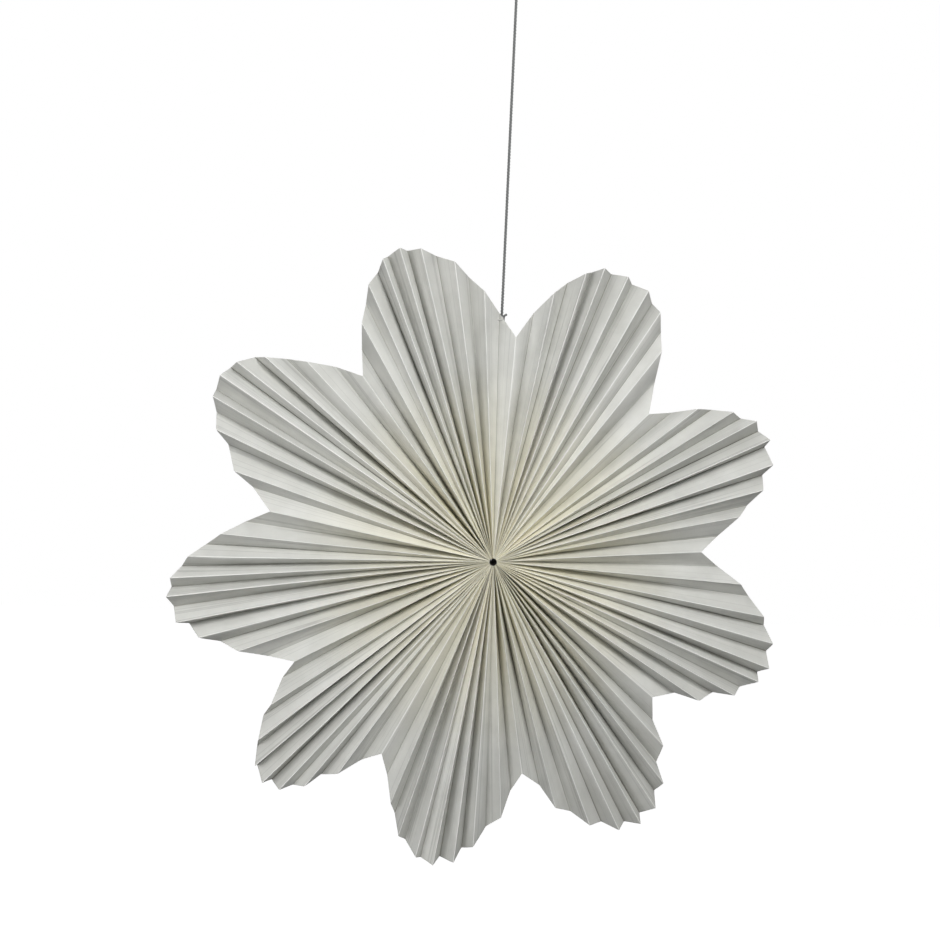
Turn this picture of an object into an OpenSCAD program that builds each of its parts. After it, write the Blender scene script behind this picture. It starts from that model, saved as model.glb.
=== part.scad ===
// Hanging paper star: one strip of paper, pleated and opened out into a flat
// rosette of nine round petals, hung by a thin thread from the knot at the end of a cord.
// Millimetres. X runs across the star, its front faces -Y and +Z is up.
// The origin is the top of the hanging loop, where a hook bears.

/* [Star] */
// Distance from the centre of the star to the tip of a petal
petal_reach = 300; // [260:1:340]
// How much nearer to the centre the paper ends at a notch between two petals
notch_depth = 92; // [70:1:110]
// Folded sides in each petal, an even number
sides_per_petal = 16; // [14:2:20]
// Depth of the pleats from front to back, beside a notch
notch_pleat_depth = 15; // [10:0.5:20]
// How much wider the pleats open beside a notch than in the middle of a petal
notch_spread = 1.15; // [0:0.05:1.5]
// Thickness of the paper
paper_t = 0.15; // [0.1:0.01:0.2]

/* [Cord] */
// Diameter of the cord
cord_d = 2.8; // [2:0.1:3.2]
// Width of the hanging loop, inside
loop_w = 16; // [10:1:24]
// Distance from the middle of the loop down to its knot
loop_neck = 18; // [16:1:30]
// Turns of cord in each knot
knot_turns = 3; // [2:1:4]
// Width of a knot, in widths of the cord
knot_fullness = 2.3; // [2.1:0.1:2.8]

/* [Tie] */
// How far in from the rim the cord is tied to the paper
tie_inset = 4; // [4:0.5:12]
// Thickness of the thread that ties the lower knot to the paper
tie_thread_d = 1.2; // [0.8:0.1:1.4]
// Room round the thread in the two holes that it goes through
tie_hole_room = 0.4; // [0.2:0.05:0.6]
// Length of the cut end of cord that stands out of the lower knot
tail_l = 2.5; // [2:0.5:6]

/* [Hidden] */

// Degrees that each petal is open, clockwise from the first notch
petal_spans = [41.5, 41.5, 42.5, 41, 38, 34, 39.5, 41.5, 40.5];
// Reach of each petal against petal_reach, as its pleats have pulled
petal_pull = [1, 0.983, 0.986, 0.998, 0.998, 1.003, 1.017, 1.025, 1.023];
// The same for each notch, from the first
notch_pull = [1.03, 0.992, 0.982, 1, 1.005, 1.018, 1.004, 1.031, 1.028];
// How fast the folds of a petal take on the reach of the notch next to them
notch_power = 4;
// How far the middle folds of each petal have gathered clockwise, in mid-petal sides
petal_gather = [-0.45, -0.5, 0.8, -0.1, 0.1, 0, 0.2, 0.25, -1];
// Turn of the first notch, clockwise from straight up
first_notch = 3;
// Curve of each petal's edge, in which 2 is a parabola
petal_edge = [2.8, 2.1, 2.1, 2.1, 2.1, 1.95, 2.1, 2.1, 2.1];
// How fast the pleats widen towards a notch
spread_power = 3;
// How far folds stray from their even places, as a share of a mid-petal side
stray = 0.28;
// Turn between the strays of one fold and the next
stray_turn = 137.5;
// Shares of the way from the centre hole to the rim at which a fold has points
stations = [0, 0.01, 0.024, 0.05, 0.11, 0.25, 0.5, 0.76, 1];
// Loose fit of the bundle of pleats round the centre hole
packing = 1.03;
// Most of a pleat's depth that the slanting paper itself may fill
solid_share = 0.95;
full_turn = 360;

folds = len(petal_spans) * sides_per_petal;
centre_hole_r = packing * folds * paper_t / (2 * PI);

// Share of a petal's span that one of its sides gets, widest beside a notch
function side_weight(k) =
    1 + notch_spread * pow(abs(2 * (k + 0.5) / sides_per_petal - 1), spread_power);
function weight_before(k) = k == 0 ? 0 : side_weight(k - 1) + weight_before(k - 1);
petal_weight = weight_before(sides_per_petal);
widest_side = max(petal_spans) * side_weight(0) / petal_weight;
// Width of the paper from fold to fold, the same all round
pleat_w = norm([2 * (petal_reach - notch_depth) * sin(widest_side / 2), notch_pleat_depth]);

// Folds are numbered clockwise from the first notch; ridges are even, valleys odd
function wrapped(i) = (i + folds) % folds;
function petal_of(i) = floor(wrapped(i) / sides_per_petal);
function place_in_petal(i) = wrapped(i) % sides_per_petal;
function is_ridge(i) = wrapped(i) % 2 == 0;
function span_before(petal) = petal == 0 ? 0 : petal_spans[petal - 1] + span_before(petal - 1);
function stray_of(i) =
    place_in_petal(i) == 0 ? 0 : stray * sin(stray_turn * wrapped(i) * wrapped(i));
function gather_of(i) =
    petal_gather[petal_of(i)] * pow(sin(full_turn / 2 * place_in_petal(i) / sides_per_petal), 2);
// Turn of a fold at the rim, and in the even bundle round the centre hole
function open_turn(i) =
    span_before(petal_of(i))
    + petal_spans[petal_of(i)]
        * (weight_before(place_in_petal(i)) + stray_of(i) + gather_of(i)) / petal_weight;
function even_turn(i) = full_turn * wrapped(i) / folds;

// Distance of a fold's end from the centre, between that of its petal and that of its notch
function edge_share(i) = abs(2 * place_in_petal(i) / sides_per_petal - 1);
function nearest_notch(i) =
    (petal_of(i) + (place_in_petal(i) > sides_per_petal / 2 ? 1 : 0)) % len(petal_spans);
function pull_at(i) =
    let (petal = petal_pull[petal_of(i)], notch = notch_pull[nearest_notch(i)])
    petal + (notch - petal) * pow(edge_share(i), notch_power);
function rim_r(i) =
    pull_at(i) * (petal_reach - notch_depth * pow(edge_share(i), petal_edge[petal_of(i)]));

// Place across and up of a fold, at a share s of its way from the hole to the rim
function polar(r, turn) = [r * sin(turn + first_notch), r * cos(turn + first_notch)];
function fold_at(i, s) =
    (1 - s) * polar(centre_hole_r, even_turn(i)) + s * polar(rim_r(i), open_turn(i));

// Width that the side from fold i to the next one takes up round the star
function side_run(i, s) =
    let (a = fold_at(i, s), b = fold_at(i + 1, s))
    abs(cross(a, b)) * (norm(a) + norm(b)) / (2 * norm(a) * norm(b));
function side_depth(i, s) = sqrt(pow(pleat_w, 2) - pow(side_run(i, s), 2));
function run_at(i, s) = (side_run(i, s) + side_run(i - 1, s)) / 2;
function depth_at(i, s) = (side_depth(i, s) + side_depth(i - 1, s)) / 2;
// Thickness of the slanting paper, measured straight from front to back
function through_t(i, s) =
    min(paper_t * norm([1, depth_at(i, s) / run_at(i, s)]), solid_share * depth_at(i, s));

// A fold's two points, on the front and on the back of the paper
function fold_points(i, s) =
    let (
        place = fold_at(i, s),
        half = depth_at(i, s) / 2,
        t = through_t(i, s),
        front = is_ridge(i) ? -half : half - t
    )
    [[place[0], front, place[1]], [place[0], front + t, place[1]]];

function star_points() = [
    for (i = [0 : folds - 1]) for (s = stations) each fold_points(i, s)
];
function point_number(i, j, back) = 2 * (wrapped(i) * len(stations) + j) + back;
function two_triangles(a, b, c, d) = [[a, b, c], [a, c, d]];
function star_faces() = [
    for (i = [0 : folds - 1]) each [
        for (j = [0 : len(stations) - 2]) each concat(
            two_triangles(
                point_number(i, j, 0), point_number(i, j + 1, 0),
                point_number(i + 1, j + 1, 0), point_number(i + 1, j, 0)
            ),
            [for (t = two_triangles(
                point_number(i, j, 1), point_number(i, j + 1, 1),
                point_number(i + 1, j + 1, 1), point_number(i + 1, j, 1)
            )) [t[2], t[1], t[0]]]
        ),
        each end_faces(i, 0, false),
        each end_faces(i, len(stations) - 1, true)
    ]
];
// The cut edge of the paper at the rim, or round the centre hole
function end_faces(i, j, outer) =
    outer
    ? two_triangles(
        point_number(i + 1, j, 0), point_number(i, j, 0),
        point_number(i, j, 1), point_number(i + 1, j, 1)
    )
    : two_triangles(
        point_number(i, j, 0), point_number(i + 1, j, 0),
        point_number(i + 1, j, 1), point_number(i, j, 1)
    );

// The thread is tied round the valley just before the first notch
tie_fold = folds - 1;
tie_share = 1 - tie_inset / (rim_r(tie_fold) - centre_hole_r);
tie_point = fold_points(tie_fold, tie_share)[1];
tie_slope = depth_at(tie_fold, tie_share) / run_at(tie_fold, tie_share);

// The ring of thread leans, so that its back lies in the top turn of the lower knot
tie_ring_r = 2.5 * tie_thread_d;
tie_ring_lean = 45;
// Turn from the ring's front to where it goes through a side of the paper
tie_hole_turn = atan(cos(tie_ring_lean) / tie_slope);
tie_hole_side = tie_ring_r * sin(tie_hole_turn);
tie_hole_front = tie_ring_r * cos(tie_hole_turn) * cos(tie_ring_lean);
tie_hole_down = tie_ring_r * cos(tie_hole_turn) * sin(tie_ring_lean);
tie_hole_d = tie_thread_d + 2 * tie_hole_room;

// Knots are turns of cord laid on each other round the cord itself
knot_r = knot_fullness * cord_d / 2;
knot_pitch = 0.85 * cord_d;
knot_h = (knot_turns - 1) * knot_pitch + cord_d;

// Middle line of the loop: a bow over the hook and two legs that lie side by side in the knot
loop_r = (loop_w + cord_d) / 2;
loop_centre = [0, 0, -loop_w / 2];
loop_knot_top = loop_centre[2] - loop_neck;
leg_sink = 1.5;
leg_foot = [0.55 * cord_d, 0, loop_knot_top - leg_sink];
leg_reach = norm(leg_foot - loop_centre);
bow_start = acos(loop_r / leg_reach) - acos(leg_foot[0] / leg_reach);
bow_steps = 12;
leg_steps = 3;

// Points along the middle of the cord, from the upper knot down to the lower one
cord_route = concat(
    [[0, 0, loop_knot_top - knot_h]],
    [
        [0, 0, -50], [0, 0, -80], [0, 0, -110], [0, 0, -140], [0, 0, -170], [0, 0, -200],
        [0, 0, -230], [0, 0, -255], [0, 0, -275], [0, 0, -292], [0, 0, -306], [0, 0, -318],
        [0, 0, -328], [0, 0, -336], [0, 0, -341], [0, 0, -346]
    ]
);
cord_end = cord_route[len(cord_route) - 1];
cord_sides = 8;
// Distance between rings of points along the cord, in its diameters
cord_ring_step = 2.5;

// Cut end of the lower knot, and how it stands
tail_d = 0.85 * cord_d;
tail_side = 0.25 * knot_fullness * cord_d;
tail_sink = 0.55 * cord_d;
tail_lean = 50;

// The star hangs so that the back of the ring lies in the middle of that turn
knot_behind_tie = tie_ring_r * cos(tie_ring_lean) + knot_r - cord_d / 2;
tie_below_cord = cord_d / 2 + tie_ring_r * sin(tie_ring_lean);
star_at = [
    0,
    cord_end[1] - knot_behind_tie - tie_point[1],
    cord_end[2] - tie_below_cord - tie_point[2]
];
tie_at = star_at + tie_point;

// Smooth curve through the cord's points
function curve(a, b, c, d, t) =
    0.5 * (2 * b + (c - a) * t + (2 * a - 5 * b + 4 * c - d) * t * t + (3 * b - a - 3 * c + d) * t * t * t);
function route_point(i) = cord_route[min(max(i, 0), len(cord_route) - 1)];
function pieces_in(i) =
    ceil(norm(route_point(i + 1) - route_point(i)) / (cord_ring_step * cord_d));
function cord_path() = concat(
    [
        for (i = [0 : len(cord_route) - 2]) for (k = [0 : pieces_in(i) - 1])
            curve(
                route_point(i - 1), route_point(i), route_point(i + 1), route_point(i + 2),
                k / pieces_in(i)
            )
    ],
    [cord_end]
);
function bow_point(k) =
    let (turn = bow_start + (full_turn / 2 - 2 * bow_start) * k / bow_steps)
    loop_centre + loop_r * [cos(turn), 0, sin(turn)];
function leg(foot, top) = [for (k = [0 : leg_steps - 1]) foot + (top - foot) * k / leg_steps];
function reversed(list) = [for (k = [len(list) - 1 : -1 : 0]) list[k]];
function loop_path() = concat(
    leg(leg_foot, bow_point(0)),
    [for (k = [0 : bow_steps]) bow_point(k)],
    reversed(leg([-leg_foot[0], 0, leg_foot[2]], bow_point(bow_steps)))
);
function unit(v) = v / norm(v);
// Corners of a ring square to the way that the cord runs there
function cord_ring(path, i) =
    let (
        way = unit(path[min(i + 1, len(path) - 1)] - path[max(i - 1, 0)]),
        side = unit(cross([0, 1, 0], way)),
        front = cross(way, side)
    )
    [
        for (k = [0 : cord_sides - 1])
            path[i] + cord_d / 2 * (
                side * cos(full_turn * k / cord_sides) + front * sin(full_turn * k / cord_sides)
            )
    ];

module cord_tube(path) {
    rings = len(path);
    points = [for (i = [0 : rings - 1]) each cord_ring(path, i)];
    walls = [
        for (i = [0 : rings - 2]) for (k = [0 : cord_sides - 1])
            let (next = (k + 1) % cord_sides)
            [
                i * cord_sides + k, (i + 1) * cord_sides + k,
                (i + 1) * cord_sides + next, i * cord_sides + next
            ]
    ];
    first_end = [for (k = [0 : cord_sides - 1]) k];
    last_end = [for (k = [cord_sides - 1 : -1 : 0]) (rings - 1) * cord_sides + k];
    polyhedron(points = points, faces = concat(walls, [first_end, last_end]));
}

// A knot that stands on z = 0, with level ends as wide as the cord
module knot() {
    rotate_extrude($fn = 48) {
        square([knot_r - cord_d / 2, knot_h]);
        for (k = [0 : knot_turns - 1])
            translate([knot_r - cord_d / 2, cord_d / 2 + k * knot_pitch])
                circle(d = cord_d, $fn = 24);
    }
}

// A round hole square to the paper, in the side right (1) or left (-1) of the tied valley
module tie_hole(side) {
    translate(tie_point + [side * tie_hole_side, -tie_hole_front, -tie_hole_down])
        rotate([0, 0, -side * atan(tie_slope)])
            rotate([90, 0, 0])
                cylinder(d = tie_hole_d, h = 2 * tie_hole_d, center = true, $fn = 32);
}

module pleated_star() {
    color("#e3e3dd") translate(star_at) difference() {
        polyhedron(points = star_points(), faces = star_faces());
        tie_hole(1);
        tie_hole(-1);
    }
}

module hanging_cord() {
    color("#8a8c8b") cord_tube(cord_path());
}

module tie_knot() {
    color("#8a8c8b") {
        translate([cord_end[0], cord_end[1], cord_end[2] - knot_h]) knot();
        translate(tie_at) rotate([tie_ring_lean, 0, 0])
            rotate_extrude($fn = 64) translate([tie_ring_r, 0]) circle(d = tie_thread_d, $fn = 24);
        translate([cord_end[0] + tail_side, cord_end[1], cord_end[2] - tail_sink])
            rotate([0, tail_lean, 0]) cylinder(d = tail_d, h = tail_sink + tail_l, $fn = 24);
    }
}

module hanging_loop() {
    color("#8a8c8b") {
        cord_tube(loop_path());
        translate([0, 0, loop_knot_top - knot_h]) knot();
    }
}

pleated_star();
hanging_cord();
tie_knot();
hanging_loop();
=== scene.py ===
"""Looks for a pleated paper star that hangs on a grey cord.

The star is one folded sheet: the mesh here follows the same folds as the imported
solid, with rounded creases, sides that curl a little and the paper's thickness.
Everything is in metres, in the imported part's frame: origin at the hook, +Z up,
the star's front towards -Y.
"""

import math

import bpy
from mathutils import Matrix, Vector


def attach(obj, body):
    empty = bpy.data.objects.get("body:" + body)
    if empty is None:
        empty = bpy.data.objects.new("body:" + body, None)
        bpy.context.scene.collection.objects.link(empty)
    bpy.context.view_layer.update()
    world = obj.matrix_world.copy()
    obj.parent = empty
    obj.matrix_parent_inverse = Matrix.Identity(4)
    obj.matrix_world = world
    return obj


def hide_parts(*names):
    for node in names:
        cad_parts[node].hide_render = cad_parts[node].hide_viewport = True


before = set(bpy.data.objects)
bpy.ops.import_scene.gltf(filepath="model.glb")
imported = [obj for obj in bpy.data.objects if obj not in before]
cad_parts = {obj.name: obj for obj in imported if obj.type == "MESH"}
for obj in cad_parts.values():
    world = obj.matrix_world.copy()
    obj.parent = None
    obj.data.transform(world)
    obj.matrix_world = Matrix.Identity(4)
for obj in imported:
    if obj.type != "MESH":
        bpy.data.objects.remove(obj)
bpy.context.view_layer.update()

MM = 0.001
UP = Vector((0, 0, 1))

# Star, as in the part's source
PETAL_REACH = 300 * MM
NOTCH_DEPTH = 92 * MM
SIDES_PER_PETAL = 16
NOTCH_PLEAT_DEPTH = 15 * MM
NOTCH_SPREAD = 1.15
SPREAD_POWER = 3
PAPER_T = 0.15 * MM
PETAL_SPANS = (41.5, 41.5, 42.5, 41, 38, 34, 39.5, 41.5, 40.5)
PETAL_PULL = (1, 0.983, 0.986, 0.998, 0.998, 1.003, 1.017, 1.025, 1.023)
NOTCH_PULL = (1.03, 0.992, 0.982, 1, 1.005, 1.018, 1.004, 1.031, 1.028)
NOTCH_POWER = 4
PETAL_GATHER = (-0.45, -0.5, 0.8, -0.1, 0.1, 0, 0.2, 0.25, -1)
FIRST_NOTCH = 3
PETAL_EDGE = (2.8, 2.1, 2.1, 2.1, 2.1, 1.95, 2.1, 2.1, 2.1)
STRAY = 0.28
STRAY_TURN = 137.5
PACKING = 1.03
SOLID_SHARE = 0.95
FOLDS = len(PETAL_SPANS) * SIDES_PER_PETAL
FULL_TURN = 360

# Cord, as in the part's source
CORD_D = 2.8 * MM
LOOP_W = 16 * MM
LOOP_NECK = 18 * MM
KNOT_TURNS = 3
KNOT_FULLNESS = 2.3
KNOT_R = KNOT_FULLNESS * CORD_D / 2
KNOT_PITCH = 0.85 * CORD_D
KNOT_H = (KNOT_TURNS - 1) * KNOT_PITCH + CORD_D
LOOP_R = (LOOP_W + CORD_D) / 2
LOOP_CENTRE_Z = -LOOP_W / 2
LOOP_KNOT_TOP = LOOP_CENTRE_Z - LOOP_NECK
CORD_ROUTE = [Vector(p) * MM for p in (
    (0, 0, (LOOP_KNOT_TOP - KNOT_H) / MM),
    (0, 0, -50), (0, 0, -80), (0, 0, -110), (0, 0, -140), (0, 0, -170), (0, 0, -200),
    (0, 0, -230), (0, 0, -255), (0, 0, -275), (0, 0, -292), (0, 0, -306), (0, 0, -318),
    (0, 0, -328), (0, 0, -336), (0, 0, -341), (0, 0, -346),
)]
CORD_END = CORD_ROUTE[-1]

# Tie, as in the part's source
TIE_INSET = 4 * MM
TIE_THREAD_D = 1.2 * MM
TIE_HOLE_ROOM = 0.4 * MM
TIE_RING_R = 2.5 * TIE_THREAD_D
TIE_RING_LEAN = 45
TAIL_L = 2.5 * MM
TAIL_D = 0.85 * CORD_D
TAIL_SIDE = 0.25 * KNOT_FULLNESS * CORD_D
TAIL_SINK = 0.55 * CORD_D
TAIL_LEAN = 50

# Camera, measured from the centre of the star
CAMERA_FROM_STAR = Vector((-0.0965, -0.808, 0.1243))
CAMERA_YAW = 5.05
CAMERA_PITCH = -2.68
CAMERA_ROLL = 2.55
IMAGE_W = 940
LENS_PX = 850
SENSOR_W = 36
CLIP_NEAR = 0.02
CLIP_FAR = 60


def clean(name, verts, faces, smooth=True):
    """A mesh object from plain lists."""
    mesh = bpy.data.meshes.new(name)
    mesh.from_pydata([tuple(v) for v in verts], [], faces)
    mesh.validate()
    mesh.update()
    if smooth:
        mesh.polygons.foreach_set("use_smooth", [True] * len(mesh.polygons))
    piece = bpy.data.objects.new(name, mesh)
    bpy.context.scene.collection.objects.link(piece)
    return piece


# Folds of the star

HASH_TURN = 12.9898
HASH_START = 4.1
HASH_SPREAD = 43758.5453


def hashed(i, use):
    """A fixed number from -1 to 1 for a fold or side, another one for each use of it."""
    value = math.sin(HASH_TURN * i + 2 * HASH_TURN * use + HASH_START) * HASH_SPREAD
    return 2 * (value - math.floor(value)) - 1


def side_weight(k):
    return 1 + NOTCH_SPREAD * abs(2 * (k + 0.5) / SIDES_PER_PETAL - 1) ** SPREAD_POWER


def weight_before(k):
    return sum(side_weight(n) for n in range(k))


PETAL_WEIGHT = weight_before(SIDES_PER_PETAL)


def petal_of(i):
    return (i % FOLDS) // SIDES_PER_PETAL


def place_in_petal(i):
    return (i % FOLDS) % SIDES_PER_PETAL


def is_ridge(i):
    return i % 2 == 0


def stray_of(i):
    if place_in_petal(i) == 0:
        return 0
    return STRAY * math.sin(math.radians(STRAY_TURN * (i % FOLDS) ** 2))


def gather_of(i):
    return PETAL_GATHER[petal_of(i)] * math.sin(math.pi * place_in_petal(i) / SIDES_PER_PETAL) ** 2


def open_turn(i):
    before = sum(PETAL_SPANS[:petal_of(i)])
    share = (weight_before(place_in_petal(i)) + stray_of(i) + gather_of(i)) / PETAL_WEIGHT
    return before + PETAL_SPANS[petal_of(i)] * share


def nearest_notch(i):
    after = place_in_petal(i) > SIDES_PER_PETAL / 2
    return (petal_of(i) + after) % len(PETAL_SPANS)


def rim_r(i):
    edge = abs(2 * place_in_petal(i) / SIDES_PER_PETAL - 1)
    petal, notch = PETAL_PULL[petal_of(i)], NOTCH_PULL[nearest_notch(i)]
    pull = petal + (notch - petal) * edge ** NOTCH_POWER
    return pull * (PETAL_REACH - NOTCH_DEPTH * edge ** PETAL_EDGE[petal_of(i)])


def polar(r, turn):
    angle = math.radians(turn + FIRST_NOTCH)
    return Vector((r * math.sin(angle), r * math.cos(angle)))


HOLE_R = PACKING * FOLDS * PAPER_T / (2 * math.pi)
WIDEST_SIDE = max(PETAL_SPANS) * side_weight(0) / PETAL_WEIGHT
PLEAT_W = math.hypot(
    2 * (PETAL_REACH - NOTCH_DEPTH) * math.sin(math.radians(WIDEST_SIDE / 2)), NOTCH_PLEAT_DEPTH
)
FOLD_IN = [polar(HOLE_R, FULL_TURN * i / FOLDS) for i in range(FOLDS)]
FOLD_OUT = [polar(rim_r(i), open_turn(i)) for i in range(FOLDS)]


def fold_at(i, s):
    return FOLD_IN[i % FOLDS].lerp(FOLD_OUT[i % FOLDS], s)


def side_run(i, s):
    a, b = fold_at(i, s), fold_at(i + 1, s)
    return abs(a.x * b.y - a.y * b.x) * (a.length + b.length) / (2 * a.length * b.length)


def side_depth(i, s):
    return math.sqrt(PLEAT_W ** 2 - side_run(i, s) ** 2)


def run_at(i, s):
    return (side_run(i, s) + side_run(i - 1, s)) / 2


def fold_state(i, s):
    """Place of a fold, half its depth and the slanting paper's thickness there."""
    depth = (side_depth(i, s) + side_depth(i - 1, s)) / 2
    through = min(PAPER_T * math.hypot(1, depth / run_at(i, s)), SOLID_SHARE * depth)
    return fold_at(i, s), depth / 2, through


TIE_FOLD = FOLDS - 1
TIE_SHARE = 1 - TIE_INSET / (rim_r(TIE_FOLD) - HOLE_R)
TIE_PLACE, TIE_HALF, _ = fold_state(TIE_FOLD, TIE_SHARE)
TIE_SLOPE = 2 * TIE_HALF / run_at(TIE_FOLD, TIE_SHARE)
TIE_POINT = Vector((TIE_PLACE.x, TIE_HALF, TIE_PLACE.y))
# The star hangs so that the back of the ring lies in the top turn of the lower knot
RING_LEAN = math.radians(TIE_RING_LEAN)
KNOT_BEHIND_TIE = TIE_RING_R * math.cos(RING_LEAN) + KNOT_R - CORD_D / 2
TIE_BELOW_CORD = CORD_D / 2 + TIE_RING_R * math.sin(RING_LEAN)
STAR_AT = Vector((
    0,
    CORD_END.y - KNOT_BEHIND_TIE - TIE_POINT.y,
    CORD_END.z - TIE_BELOW_CORD - TIE_POINT.z,
))
TIE_AT = STAR_AT + TIE_POINT


# Camera and cord come first

def make_camera():
    yaw, pitch, roll = (math.radians(a) for a in (CAMERA_YAW, CAMERA_PITCH, CAMERA_ROLL))
    ahead = Vector((math.sin(yaw), math.cos(yaw), 0))
    forward = ahead * math.cos(pitch) + UP * math.sin(pitch)
    level = forward.cross(UP).normalized()
    lift = level.cross(forward)
    right = level * math.cos(roll) + lift * math.sin(roll)
    up = lift * math.cos(roll) - level * math.sin(roll)
    data = bpy.data.cameras.new("camera")
    data.sensor_width = SENSOR_W
    data.lens = SENSOR_W * LENS_PX / IMAGE_W
    data.clip_start, data.clip_end = CLIP_NEAR, CLIP_FAR
    camera = bpy.data.objects.new("camera", data)
    turn = Matrix((right, up, -forward)).transposed().to_4x4()
    camera.matrix_world = Matrix.Translation(STAR_AT + CAMERA_FROM_STAR) @ turn
    bpy.context.scene.collection.objects.link(camera)
    bpy.context.scene.camera = camera


# Three strands twisted together, as the outline of a ring of points
STRANDS = 3
# Radius of a strand, as a share of the cord's
STRAND_SHARE = 0.4641
RING_POINTS = 24
# Length of a full twist and the distance between rings, in widths of the cord
TWIST_SHARE = 3.2
RING_SHARE = 0.22


def strand_outline(turn):
    """Radius of the twisted cord, as a share of its own, at an angle round it."""
    part = 2 * math.pi / STRANDS
    off = (turn + part / 2) % part - part / 2
    centre = 1 - STRAND_SHARE
    inside = STRAND_SHARE ** 2 - (centre * math.sin(off)) ** 2
    return centre * math.cos(off) + math.sqrt(max(inside, 0))


def even_points(points, step):
    """The same line with points an even step apart."""
    lengths = [(b - a).length for a, b in zip(points, points[1:])]
    total = sum(lengths)
    count = max(2, round(total / step))
    result, k, gone = [], 0, 0.0
    for n in range(count + 1):
        want = total * n / count
        while k < len(lengths) - 1 and gone + lengths[k] < want:
            gone += lengths[k]
            k += 1
        share = (want - gone) / lengths[k]
        result.append(points[k].lerp(points[k + 1], min(share, 1)))
    return result


CURVE_PARTS = 8


def smooth_line(points):
    """A smooth curve through given points."""
    line = []
    last = len(points) - 1
    for i in range(last):
        a, b, c, d = (points[min(max(i + k, 0), last)] for k in (-1, 0, 1, 2))
        for n in range(CURVE_PARTS):
            t = n / CURVE_PARTS
            line.append(0.5 * (
                2 * b + (c - a) * t + (2 * a - 5 * b + 4 * c - d) * t ** 2
                + (3 * b - a - 3 * c + d) * t ** 3
            ))
    return line + [points[last]]


def twisted_cord(line, diameter, closed=False, front=Vector((0, 1, 0))):
    """Points and faces of a twisted cord along a line, with its open ends capped flat."""
    path = even_points(line, RING_SHARE * diameter)
    if closed:
        path = path[:-1]
    verts, faces = [], []
    count = len(path)
    gone = 0.0
    side = None
    for i, p in enumerate(path):
        ahead = path[(i + 1) % count] if closed or i < count - 1 else p
        behind = path[i - 1] if closed or i > 0 else p
        way = (ahead - behind).normalized()
        side = front if side is None else side
        side = (side - way * side.dot(way)).normalized()
        other = way.cross(side)
        gone += (p - behind).length if i else 0
        twist = 2 * math.pi * gone / (TWIST_SHARE * diameter)
        for k in range(RING_POINTS):
            turn = 2 * math.pi * k / RING_POINTS
            r = diameter / 2 * strand_outline(turn - twist)
            verts.append(p + (side * math.cos(turn) + other * math.sin(turn)) * r)
    rings = count if closed else count - 1
    for i in range(rings):
        for k in range(RING_POINTS):
            a, b = i * RING_POINTS, ((i + 1) % count) * RING_POINTS
            n = (k + 1) % RING_POINTS
            faces.append((a + k, a + n, b + n, b + k))
    if not closed:
        faces.append(tuple(range(RING_POINTS - 1, -1, -1)))
        faces.append(tuple((count - 1) * RING_POINTS + k for k in range(RING_POINTS)))
    return verts, faces


def joined(parts):
    """One list of points and faces from several."""
    verts, faces = [], []
    for v, f in parts:
        start = len(verts)
        verts += v
        faces += [tuple(n + start for n in face) for face in f]
    return verts, faces


KNOT_STEPS = 24
# The ends of a knot's turns go on a few steps, and are drawn in by a share of their radius
TUCK_STEPS = 3
TUCK = 0.35


def knot_turns(base):
    """Turns of cord that climb round the cord above a point, with their ends tucked in."""
    radius = KNOT_R - CORD_D / 2
    total = KNOT_TURNS * KNOT_STEPS
    line = []
    for n in range(-TUCK_STEPS, total + TUCK_STEPS + 1):
        turn = 2 * math.pi * n / KNOT_STEPS
        share = min(max(n / total, 0), 1)
        tuck = 1 - TUCK * max(0, -n, n - total) / TUCK_STEPS
        z = CORD_D / 2 + share * (KNOT_TURNS - 1) * KNOT_PITCH
        line.append(base + Vector((radius * tuck * math.cos(turn), radius * tuck * math.sin(turn), z)))
    return twisted_cord(line, CORD_D, front=UP)


def knot(base):
    """The turns of a knot and the stretch of cord inside it, from a point up."""
    core = [base, base + UP * KNOT_H / 2, base + UP * KNOT_H]
    return [knot_turns(base), twisted_cord(core, CORD_D)]


ROUTE_STEP = 4 * MM


def make_hanging_cord(material):
    line = smooth_line(CORD_ROUTE)
    verts, faces = twisted_cord(line, CORD_D)
    cord = clean("hanging_cord_twist", verts, faces)
    cord.data.materials.append(material)
    return cord, even_points(line, ROUTE_STEP)


THREAD_STEPS = 64
TAIL_SHARES = (0, 0.3, 0.6, 0.85, 1)


def make_tie(material, thread_material):
    lean = Matrix.Rotation(RING_LEAN, 3, "X")
    ring = [
        TIE_AT + lean @ Vector((math.cos(a), math.sin(a), 0)) * TIE_RING_R
        for a in (2 * math.pi * n / THREAD_STEPS for n in range(THREAD_STEPS + 1))
    ]
    foot = CORD_END + Vector((TAIL_SIDE, 0, -TAIL_SINK))
    tail_lean = math.radians(TAIL_LEAN)
    tail_way = Vector((math.sin(tail_lean), 0, math.cos(tail_lean)))
    tail = [foot + tail_way * share * (TAIL_SINK + TAIL_L) for share in TAIL_SHARES]
    thread = twisted_cord(ring, TIE_THREAD_D, closed=True, front=UP)
    parts = [thread, *knot(CORD_END - UP * KNOT_H), twisted_cord(tail, TAIL_D)]
    tie = clean("tie_of_cord", *joined(parts))
    tie.data.materials.append(material)
    tie.data.materials.append(thread_material)
    for face in tie.data.polygons[:len(thread[1])]:
        face.material_index = 1
    return tie


# Where the loop's legs end in its knot, and the points round its bow
LEG_SIDE = 0.55 * CORD_D
LEG_SINK = 1.5 * MM
BOW_STEPS = 36


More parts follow.
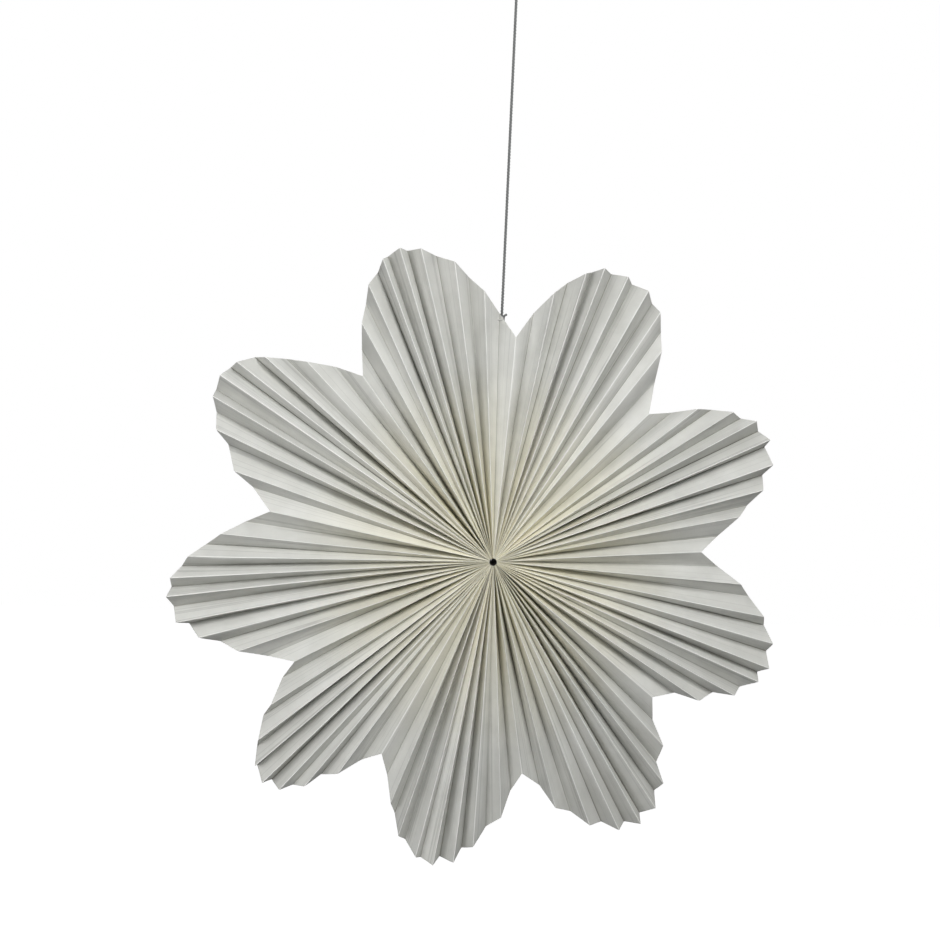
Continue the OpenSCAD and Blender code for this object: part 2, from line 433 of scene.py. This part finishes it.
def make_loop(material):
    centre = Vector((0, 0, LOOP_CENTRE_Z))
    foot = Vector((LEG_SIDE, 0, LOOP_KNOT_TOP - LEG_SINK))
    reach = (foot - centre).length
    start = math.acos(LOOP_R / reach) - math.acos(foot.x / reach)
    bow = [
        centre + Vector((math.cos(a), 0, math.sin(a))) * LOOP_R
        for a in (start + (math.pi - 2 * start) * n / BOW_STEPS for n in range(BOW_STEPS + 1))
    ]
    line = [foot, *bow, Vector((-foot.x, 0, foot.z))]
    parts = [twisted_cord(line, CORD_D), *knot(Vector((0, 0, LOOP_KNOT_TOP - KNOT_H)))]
    loop = clean("loop_of_cord", *joined(parts))
    loop.data.materials.append(material)
    return loop


# Materials

def new_material(name):
    material = bpy.data.materials.new(name)
    material.use_nodes = True
    tree = material.node_tree
    return material, tree, tree.nodes["Principled BSDF"]


def add(tree, kind, **values):
    """A new node, with each value set on the node itself or else on its socket of that name."""
    node = tree.nodes.new(kind)
    for key, value in values.items():
        if hasattr(node, key):
            setattr(node, key, value)
        else:
            node.inputs[key].default_value = value
    return node


def mixed(tree, blend, factor, first, second):
    """A colour mix. Each of factor, first and second is a value or a socket."""
    node = add(tree, "ShaderNodeMix", data_type="RGBA", blend_type=blend)
    wanted = {"Factor_Float": factor, "A_Color": first, "B_Color": second}
    for socket in node.inputs:
        if socket.identifier in wanted:
            value = wanted[socket.identifier]
            if isinstance(value, bpy.types.NodeSocket):
                tree.links.new(value, socket)
            else:
                socket.default_value = value
    return next(out for out in node.outputs if out.identifier == "Result_Color")


def ranged(tree, value, low, high, at_low, at_high):
    """A value carried from one range over to another, and held at its ends."""
    node = add(tree, "ShaderNodeMapRange")
    for name, number in (
        ("From Min", low), ("From Max", high), ("To Min", at_low), ("To Max", at_high),
    ):
        node.inputs[name].default_value = number
    tree.links.new(value, node.inputs["Value"])
    return node.outputs["Result"]


def scaled(tree, colour, share):
    node = add(tree, "ShaderNodeVectorMath", operation="SCALE")
    tree.links.new(colour, node.inputs[0])
    tree.links.new(share, node.inputs["Scale"])
    return node.outputs[0]


def noise(tree, place, scale, detail, roughness):
    node = add(tree, "ShaderNodeTexNoise", Scale=scale, Detail=detail, Roughness=roughness)
    tree.links.new(place, node.inputs["Vector"])
    return node.outputs["Fac"]


def attribute(tree, name):
    return add(tree, "ShaderNodeAttribute", attribute_name=name)


def bumped(tree, height, strength, distance, under=None):
    """The normal of a bump in metres, on top of the bump given as under."""
    node = add(tree, "ShaderNodeBump")
    node.inputs["Strength"].default_value = strength
    node.inputs["Distance"].default_value = distance
    tree.links.new(height, node.inputs["Height"])
    if under:
        tree.links.new(under, node.inputs["Normal"])
    return node.outputs["Normal"]


PAPER_ROUGHNESS = 0.85
PAPER_SHINE = 0.25
# Share of the light that comes through the paper
PAPER_THROUGH = 0.11
PAPER_DARK = (0.685, 0.688, 0.655, 1)
PAPER_LIGHT = (0.75, 0.753, 0.722, 1)
# painted warm bounce light between the pleats near the centre
PAPER_BOUNCE_CREAM = (1.0, 0.955, 0.79, 1)
# partly the paler rubbed crease, partly a painted highlight on the ridges
PAPER_CREASE_AND_HIGHLIGHT = (0.97, 0.965, 0.94, 1)
# painted shade at the bottoms of the grooves
PAPER_GROOVE_SHADE = (0.13, 0.122, 0.085, 1)
# painted shade inside the centre hole
PAPER_HOLE_SHADE = (0.012, 0.011, 0.009, 1)
# Scale, detail and roughness of each noise
MOTTLE = (38.0, 4.0, 0.6)
FIBRE = (1400.0, 3.0, 0.65)
STREAK = (700.0, 3.0, 0.7)
WRINKLE = (130.0, 0.0, 0.5)
# Strength and height in metres of each bump
FIBRE_BUMP = (0.25, 0.00012)
STREAK_BUMP = (0.16, 0.0006)
WRINKLE_BUMP = (0.5, 0.0006)
# Each of these is a range of a value, and what it is turned into at the ends of that range
MOTTLE_MIX = (0.35, 0.68, 0.0, 1.0)
STREAK_TONE = (0.3, 0.7, 0.988, 1.012)
# painted shade along the wrinkle lines
WRINKLE_TONE = (0.0, 0.022, 0.8, 1.0)
# painted shade deeper in the grooves
SHADE_TONE = (0.0, 1.0, 1.05, 0.86)
# the paler rubbed crease with a painted highlight on the ridges
RIDGE_CREASE_AND_HIGHLIGHT_MIX = (0.0, 1.0, 0.0, 1.0)
# painted shade at the bottoms of the grooves
GROOVE_SHADE_MIX = (-1.0, 0.0, 0.85, 0.0)
# how the painted warm bounce light differs from side to side
SIDE_CREAM = (-1.0, 1.0, 0.45, 1.25)
# The same by the distance from the centre of the star, in metres: painted warm bounce light, painted
# light that lifts the centre, and painted shade towards the rim
BOUNCE_CREAM_BY_R = (0.03, 0.19, 1.0, 0.04)
CENTRE_PAINTED_LIGHT_BY_R = (0.008, 0.07, 1.2, 1.04)
RIM_PAINTED_SHADE_BY_R = (0.07, 0.25, 1.0, 0.88)


def wrinkle_line(tree, wrinkle):
    """1 away from the wrinkles and less on them, where the noise crosses its middle value."""
    off = add(tree, "ShaderNodeMath", operation="SUBTRACT")
    tree.links.new(wrinkle, off.inputs[0])
    off.inputs[1].default_value = 0.5
    size = add(tree, "ShaderNodeMath", operation="ABSOLUTE")
    tree.links.new(off.outputs[0], size.inputs[0])
    return ranged(tree, size.outputs[0], *WRINKLE_TONE)


def paper_colour(tree, place, streak, wrinkle):
    """The paper's colour: mottled and streaked, with painted light and shade: warm bounce light and a
    lift towards the centre, shade towards the rim, in the grooves, along the wrinkles and in the hole,
    and a highlight on the ridges.
    """
    paper = mixed(
        tree, "MIX", ranged(tree, noise(tree, place, *MOTTLE), *MOTTLE_MIX), PAPER_DARK, PAPER_LIGHT
    )
    # darker along the wrinkle lines: a painted shade in the small creases
    paper = scaled(tree, scaled(tree, paper, ranged(tree, streak, *STREAK_TONE)), wrinkle)
    # painted shade: paler beside the ridges than deep in the grooves
    shade = attribute(tree, "shade").outputs["Fac"]
    paper = scaled(tree, paper, ranged(tree, shade, *SHADE_TONE))
    away = add(tree, "ShaderNodeVectorMath", operation="DISTANCE")
    tree.links.new(place, away.inputs[0])
    away.inputs[1].default_value = STAR_AT
    away = away.outputs["Value"]
    # painted warm bounce light between the pleats, strongest near the centre and differing from side
    # to side
    bounce_cream = add(tree, "ShaderNodeMath", operation="MULTIPLY", use_clamp=True)
    tree.links.new(ranged(tree, away, *BOUNCE_CREAM_BY_R), bounce_cream.inputs[0])
    warm = attribute(tree, "warm").outputs["Fac"]
    tree.links.new(ranged(tree, warm, *SIDE_CREAM), bounce_cream.inputs[1])
    # painted light and shade by distance: paler near the centre, where the grooves are deep, and
    # darker towards the rim
    paper = scaled(tree, paper, ranged(tree, away, *RIM_PAINTED_SHADE_BY_R))
    paper = scaled(tree, paper, ranged(tree, away, *CENTRE_PAINTED_LIGHT_BY_R))
    paper = mixed(tree, "MULTIPLY", bounce_cream.outputs[0], paper, PAPER_BOUNCE_CREAM)
    # on the folds the ridges are paler, partly rubbed paper and partly a painted highlight, and the
    # bottoms of the grooves get a painted shade
    crease = attribute(tree, "crease").outputs["Fac"]
    paper = mixed(tree, "MIX", ranged(tree, crease, *RIDGE_CREASE_AND_HIGHLIGHT_MIX), paper, PAPER_CREASE_AND_HIGHLIGHT)
    paper = mixed(tree, "MIX", ranged(tree, crease, *GROOVE_SHADE_MIX), paper, PAPER_GROOVE_SHADE)
    # painted shade inside the centre hole: a near-black colour on its wall
    return mixed(tree, "MIX", attribute(tree, "hole_shade").outputs["Fac"], paper, PAPER_HOLE_SHADE)


def paper_material():
    material, tree, shader = new_material("white_pleated_paper")
    shader.inputs["Roughness"].default_value = PAPER_ROUGHNESS
    shader.inputs["Specular IOR Level"].default_value = PAPER_SHINE
    place = add(tree, "ShaderNodeTexCoord").outputs["Object"]
    # streaks and wrinkles run along the folds
    sheet = attribute(tree, "sheet").outputs["Vector"]
    streak = noise(tree, sheet, *STREAK)
    wrinkle = wrinkle_line(tree, noise(tree, sheet, *WRINKLE))
    paper = paper_colour(tree, place, streak, wrinkle)
    tree.links.new(paper, shader.inputs["Base Color"])
    normal = bumped(tree, wrinkle, *WRINKLE_BUMP)
    normal = bumped(tree, streak, *STREAK_BUMP, under=normal)
    normal = bumped(tree, noise(tree, place, *FIBRE), *FIBRE_BUMP, under=normal)
    tree.links.new(normal, shader.inputs["Normal"])
    # thin paper lets some light through
    through = add(tree, "ShaderNodeBsdfTranslucent")
    tree.links.new(paper, through.inputs["Color"])
    both = add(tree, "ShaderNodeMixShader")
    both.inputs["Fac"].default_value = PAPER_THROUGH
    tree.links.new(shader.outputs[0], both.inputs[1])
    tree.links.new(through.outputs[0], both.inputs[2])
    tree.links.new(both.outputs[0], tree.nodes["Material Output"].inputs["Surface"])
    return material


CORD_DARK = (0.115, 0.118, 0.117, 1)
CORD_LIGHT = (0.22, 0.225, 0.222, 1)
THREAD_DARK = (0.5, 0.5, 0.48, 1)
THREAD_LIGHT = (0.72, 0.72, 0.69, 1)
CORD_ROUGHNESS = 0.9
CORD_SHINE = 0.2
CORD_SHEEN = 0.2
# Scale, detail and roughness of the noise, the values between which it goes from dark to light,
# and the strength and height in metres of its bump
FLUFF = (2600.0, 3.0, 0.7)
FLUFF_DARK_AT = 0.3
FLUFF_LIGHT_AT = 0.7
FLUFF_BUMP = (0.6, 0.00015)


def cord_material(name, dark, light):
    material, tree, shader = new_material(name)
    shader.inputs["Roughness"].default_value = CORD_ROUGHNESS
    shader.inputs["Specular IOR Level"].default_value = CORD_SHINE
    shader.inputs["Sheen Weight"].default_value = CORD_SHEEN
    fluff = noise(tree, add(tree, "ShaderNodeTexCoord").outputs["Object"], *FLUFF)
    tint = add(tree, "ShaderNodeValToRGB")
    for element, position, colour in zip(
        tint.color_ramp.elements, (FLUFF_DARK_AT, FLUFF_LIGHT_AT), (dark, light)
    ):
        element.position = position
        element.color = colour
    tree.links.new(fluff, tint.inputs["Fac"])
    tree.links.new(tint.outputs["Color"], shader.inputs["Base Color"])
    tree.links.new(bumped(tree, fluff, *FLUFF_BUMP), shader.inputs["Normal"])
    return material


# Paper star

STATIONS = (
    0, 0.0015, 0.007, 0.015, 0.024, 0.037, 0.055, 0.08, 0.115, 0.16, 0.215, 0.28,
    0.35, 0.43, 0.51, 0.59, 0.67, 0.75, 0.82, 0.88, 0.93, 0.97, 0.998, 1,
)
# Points across a side: how far from the nearest fold, and the most of the side that this may be
ACROSS = (
    (0, 0), (0.32 * MM, 0.09), (0.7 * MM, 0.17), (1.6 * MM, 0.26), (4 * MM, 0.37), (1, 0.5),
    (4 * MM, 0.37), (1.6 * MM, 0.26), (0.7 * MM, 0.17), (0.32 * MM, 0.09),
)
CREASE_ROUND = 0.25 * MM
# What is left of a crease's tone on the points next to it (the paler rubbed ridge with its painted
# highlight, or the painted shade in a groove), and how much grooves differ in theirs
CREASE_FADE = 0.6
GROOVE_LINE_VARY = 0.75
# How much sides differ in the painted shade in their grooves, and how fast it comes on
SHADE_VARY = 0.7
SHADE_POWER = 2
# Sides bow one way or the other, and some take on a slight S, by shares of the pleat's depth
BOW = 0.2
ESS = 0.06
# A side bows by this share at least, and the bow swells and sinks along the side by the other
BOW_LEAST = 0.45
BOW_WAVE = 0.25
# Share of the bow that is there at the centre, and that is left at the rim, with where it fades
BOW_INSIDE = 0.5
BOW_RIM = 0.12
BOW_FADES_FROM = 0.8
# Near the centre the folds lie against each other, so a groove is only so deep for its width
GROOVE_SLOPE = 5.6
GROOVE_SLOPE_OUT = 2.7
GROOVE_OUT = 0.4
GROOVE_VARY = 0.7
# There they also lean over like pages, by a share of the way to the next fold
LEAN = 0.42
LEAN_RIM = 0.3
LEAN_VALLEY = -0.4
LEAN_FULL_AT = 0.025
LEAN_WAVES = ((7, 0.5, 1.3), (17, 0.35, 0.4))
LEAN_STRAY = 0.2
# The hole is narrower at the back, where the sheet is drawn together
HOLE_FRONT = 0.88
HOLE_BACK = 0.3


def rounding(p):
    return math.hypot(p, CREASE_ROUND) - p


def lean_of(i):
    turn = 2 * math.pi * (i % FOLDS) / FOLDS
    waves = sum(size * math.sin(count * turn + start) for count, size, start in LEAN_WAVES)
    return LEAN * (waves + LEAN_STRAY * hashed(i % FOLDS, 5))


def dressed_fold(i, s):
    """As fold_state, with the lean of the folds and with grooves that close near the centre."""
    place, half, through = fold_state(i, s)
    run = run_at(i, s)
    lean = lean_of(i) * (1 - (1 - LEAN_RIM) * math.sqrt(s)) * (1 if is_ridge(i) else LEAN_VALLEY)
    across = Vector((place.y, -place.x)).normalized()
    slope = GROOVE_SLOPE + (GROOVE_SLOPE_OUT - GROOVE_SLOPE) * min(1, s / GROOVE_OUT)
    slope *= 1 + GROOVE_VARY * hashed(i // 2 % (FOLDS // 2), 7)
    closed = 2 * half - slope * run
    return place + across * lean * run * min(1, s / LEAN_FULL_AT), half, max(through, closed)


def side_point(i, v, s, state_a, state_b):
    """Front and back of the paper, a share v of the way from one fold to the next."""
    (a, half_a, t_a), (b, half_b, t_b) = state_a, state_b
    place = a.lerp(b, v)
    through = t_a + (t_b - t_a) * v
    start = -half_a if is_ridge(i) else half_a - t_a
    end = half_b - t_b if is_ridge(i) else -half_b
    depth = abs(end - start)
    sign = 1 if end > start else -1
    soft = rounding(depth * v) - rounding(depth * (1 - v))
    wave = math.sin(2 * math.pi * (s + hashed(i, 13)))
    way = math.copysign(BOW_LEAST, hashed(i, 3)) + (1 - BOW_LEAST) * hashed(i, 3)
    bow = BOW * (way + BOW_WAVE * wave) * math.sin(math.pi * v)
    ess = ESS * hashed(i, 9) * math.sin(2 * math.pi * v)
    near_rim = max(0, (s - BOW_FADES_FROM) / (1 - BOW_FADES_FROM)) ** 2
    curl = depth * s * (BOW_INSIDE + (1 - BOW_INSIDE) * s) * (bow + ess)
    curl *= 1 + (BOW_RIM - 1) * near_rim
    y = start + (end - start) * v + sign * soft + curl
    front, back = place, place
    if s == 0:
        front, back = place * HOLE_FRONT, place * HOLE_BACK
    return Vector((front.x, y, front.y)), Vector((back.x, y + through, back.y))


def share_across(column, run):
    """Share of the way across a side at one of the columns of points, for the side's width."""
    reach, most = ACROSS[column]
    near = min(reach / run, most)
    return near if column <= len(ACROSS) // 2 else 1 - near


def crease_share(i, column):
    """1 on a ridge, -1 in a valley and 0 away from both, as seen from the front."""
    from_start = min(column, len(ACROSS) - column)
    if from_start > 1:
        return 0.0
    on_ridge = is_ridge(i) if column < len(ACROSS) / 2 else not is_ridge(i)
    share = 1.0 if from_start == 0 else CREASE_FADE
    if on_ridge:
        return share
    fold = i if column < len(ACROSS) / 2 else i + 1
    return -share * (1 + GROOVE_LINE_VARY * (hashed(fold % FOLDS, 19) - 1) / 2)


# The flat strip of paper, rolled up into a ring so that its two ends meet
SHEET_R = FOLDS * PLEAT_W / (2 * math.pi)
# Streaks and wrinkles are this much shorter across the folds than along them
SHEET_ALONG = 0.007


def sheet_place(i, v, s):
    """Where a point lies on the strip of paper, for textures that run along the folds."""
    turn = 2 * math.pi * (i + v) / FOLDS
    return SHEET_R * math.cos(turn), SHEET_R * math.sin(turn), SHEET_ALONG * PETAL_REACH * s


def shade_share(i, v):
    """How deep in a groove the front and the back of the paper lie, for the painted shade there, more
    on some sides.
    """
    strength = 1 + SHADE_VARY * hashed(i, 17)
    if not is_ridge(i):
        v = 1 - v
    return [strength * v ** SHADE_POWER, strength * (1 - v) ** SHADE_POWER]


def paper_grid():
    rows = len(STATIONS)
    verts, crease, hole_shade, warm, shade, sheet = [], [], [], [], [], []
    for i in range(FOLDS):
        states = [(dressed_fold(i, s), dressed_fold(i + 1, s)) for s in STATIONS]
        for column in range(len(ACROSS)):
            share = crease_share(i, column)
            tone = hashed(i, 11) if column else (hashed(i, 11) + hashed(i - 1, 11)) / 2
            for s, (state_a, state_b) in zip(STATIONS, states):
                run = (state_b[0] - state_a[0]).length
                across = share_across(column, run)
                front, back = side_point(i, across, s, state_a, state_b)
                sheet += [*sheet_place(i, across, s)] * 2
                verts += [STAR_AT + front, STAR_AT + back]
                crease += [share, -share]
                hole_shade += [1.0 if s == 0 else 0.0] * 2
                warm += [tone] * 2
                shade += shade_share(i, across)
    columns = FOLDS * len(ACROSS)

    def at(column, row, back):
        return 2 * ((column % columns) * rows + row) + back

    faces = []
    for c in range(columns):
        for r in range(rows - 1):
            faces.append((at(c, r, 0), at(c + 1, r, 0), at(c + 1, r + 1, 0), at(c, r + 1, 0)))
            faces.append((at(c, r, 1), at(c, r + 1, 1), at(c + 1, r + 1, 1), at(c + 1, r, 1)))
        faces.append((at(c, 0, 0), at(c, 0, 1), at(c + 1, 0, 1), at(c + 1, 0, 0)))
        last = rows - 1
        faces.append((at(c, last, 0), at(c + 1, last, 0), at(c + 1, last, 1), at(c, last, 1)))
    layers = {"crease": crease, "hole_shade": hole_shade, "warm": warm, "shade": shade}
    return verts, faces, layers, sheet


HOLE_SIDES = 24


def tie_holes():
    """Two rods where the thread goes through the sides of the tied valley."""
    turn = math.atan(math.cos(RING_LEAN) / TIE_SLOPE)
    aside = TIE_RING_R * math.sin(turn)
    down = TIE_RING_R * math.cos(turn) * Vector((0, math.cos(RING_LEAN), math.sin(RING_LEAN)))
    radius = TIE_THREAD_D / 2 + TIE_HOLE_ROOM
    turns = [2 * math.pi * k / HOLE_SIDES for k in range(HOLE_SIDES)]
    walls = [
        (k, (k + 1) % HOLE_SIDES, HOLE_SIDES + (k + 1) % HOLE_SIDES, HOLE_SIDES + k)
        for k in range(HOLE_SIDES)
    ]
    ends = [tuple(range(HOLE_SIDES - 1, -1, -1)), tuple(range(HOLE_SIDES, 2 * HOLE_SIDES))]
    rods = []
    for side in (1, -1):
        middle = TIE_AT + Vector((side * aside, 0, 0)) - down
        through = Matrix.Rotation(-side * math.atan(TIE_SLOPE), 3, "Z")
        verts = [
            middle + through @ (Vector((math.cos(a), end * 2, math.sin(a))) * radius)
            for end in (-1, 1) for a in turns
        ]
        rods.append((verts, walls + ends))
    return clean("tie_holes", *joined(rods))


def cut(piece, tool):
    """Takes the tool's form out of a piece for good."""
    change = piece.modifiers.new("cut", "BOOLEAN")
    change.operation, change.solver, change.object = "DIFFERENCE", "EXACT", tool
    graph = bpy.context.evaluated_depsgraph_get()
    piece.data = bpy.data.meshes.new_from_object(piece.evaluated_get(graph))
    piece.modifiers.clear()
    bpy.data.objects.remove(tool)


def make_star(material):
    verts, faces, layers, sheet = paper_grid()
    star = clean("folded_paper_star", verts, faces)
    for name, values in layers.items():
        layer = star.data.attributes.new(name, "FLOAT", "POINT")
        layer.data.foreach_set("value", values)
    star.data.attributes.new("sheet", "FLOAT_VECTOR", "POINT").data.foreach_set("vector", sheet)
    star.data.materials.append(material)
    cut(star, tie_holes())
    return star


# Light and surroundings

# Name, place and aim from the middle of the star, and power in watts
LIGHTS = (
    ("key", (0.3, -1.35, 0.95), (-0.6, 0, 0), 22),
    ("side", (-0.85, -0.9, 0.15), (-0.1, 0, 0), 5.5),
    ("back", (0.35, 1.5, 1.95), (0, 0, 0), 12),
)
LIGHT_W = 0.7


def make_lights():
    for name, place, aim, watts in LIGHTS:
        data = bpy.data.lights.new(name, "AREA")
        data.shape = "DISK"
        data.size = LIGHT_W
        data.energy = watts
        light = bpy.data.objects.new(name, data)
        light.location = STAR_AT + Vector(place)
        light.rotation_mode = "QUATERNION"
        light.rotation_quaternion = (Vector(aim) - Vector(place)).to_track_quat("-Z", "Y")
        bpy.context.scene.collection.objects.link(light)


# The world is white where it is seen, and lights the star softly
WORLD_SEEN = (1, 1, 1, 1)
WORLD_SEEN_STRENGTH = 1.0
WORLD_LIGHT = (0.98, 0.99, 1, 1)
WORLD_LIGHT_STRENGTH = 0.17


def background(tree, colour, strength):
    node = tree.nodes.new("ShaderNodeBackground")
    node.inputs["Color"].default_value = colour
    node.inputs["Strength"].default_value = strength
    return node.outputs[0]


def either(tree, first, second):
    node = tree.nodes.new("ShaderNodeMath")
    node.operation = "MAXIMUM"
    tree.links.new(first, node.inputs[0])
    tree.links.new(second, node.inputs[1])
    return node.outputs[0]


def make_world():
    world = bpy.data.worlds.new("surroundings")
    world.use_nodes = True
    tree = world.node_tree
    tree.nodes.clear()
    rays = tree.nodes.new("ShaderNodeLightPath").outputs
    seen = either(tree, rays["Is Camera Ray"], rays["Is Glossy Ray"])
    seen = either(tree, seen, rays["Is Transmission Ray"])
    mix = tree.nodes.new("ShaderNodeMixShader")
    out = tree.nodes.new("ShaderNodeOutputWorld")
    tree.links.new(seen, mix.inputs["Fac"])
    tree.links.new(background(tree, WORLD_LIGHT, WORLD_LIGHT_STRENGTH), mix.inputs[1])
    tree.links.new(background(tree, WORLD_SEEN, WORLD_SEEN_STRENGTH), mix.inputs[2])
    tree.links.new(mix.outputs[0], out.inputs["Surface"])
    bpy.context.scene.world = world


FLOOR_Z = -2.2
FLOOR_W = 14
FLOOR_COLOUR = (0.6, 0.6, 0.6, 1)
FLOOR_ROUGHNESS = 0.9
# What the camera alone sees the floor give off
FLOOR_GLOW = 0.9


def emission(tree, strength):
    node = tree.nodes.new("ShaderNodeEmission")
    node.inputs["Strength"].default_value = strength
    return node.outputs[0]


def make_floor():
    half = FLOOR_W / 2
    corners = [(x * half, y * half, FLOOR_Z) for x, y in ((-1, -1), (1, -1), (1, 1), (-1, 1))]
    floor = clean("floor", corners, [(0, 1, 2, 3)], smooth=False)
    material, tree, shader = new_material("pale_floor")
    shader.inputs["Base Color"].default_value = FLOOR_COLOUR
    shader.inputs["Roughness"].default_value = FLOOR_ROUGHNESS
    rays = tree.nodes.new("ShaderNodeLightPath")
    pick = tree.nodes.new("ShaderNodeMixShader")
    both = tree.nodes.new("ShaderNodeAddShader")
    out = tree.nodes["Material Output"]
    tree.links.new(rays.outputs["Is Camera Ray"], pick.inputs["Fac"])
    tree.links.new(emission(tree, 0.0), pick.inputs[1])
    tree.links.new(emission(tree, FLOOR_GLOW), pick.inputs[2])
    tree.links.new(shader.outputs[0], both.inputs[0])
    tree.links.new(pick.outputs[0], both.inputs[1])
    tree.links.new(both.outputs[0], out.inputs["Surface"])
    floor.data.materials.append(material)


def build():
    make_camera()
    grey = cord_material("grey_twisted_cord", CORD_DARK, CORD_LIGHT)
    white = cord_material("white_thread", THREAD_DARK, THREAD_LIGHT)
    cord, route = make_hanging_cord(grey)
    tie = make_tie(grey, white)
    loop = make_loop(grey)
    star = make_star(paper_material())
    for piece, node, slot in (
        (cord, "hanging_cord", "cord"),
        (tie, "tie_knot", "cord"),
        (loop, "hanging_loop", "cord"),
        (star, "pleated_star", "paper"),
    ):
        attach(piece, "root")
        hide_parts(node)
    make_lights()
    make_world()
    make_floor()
    bpy.context.scene.view_settings.view_transform = "Standard"


build()
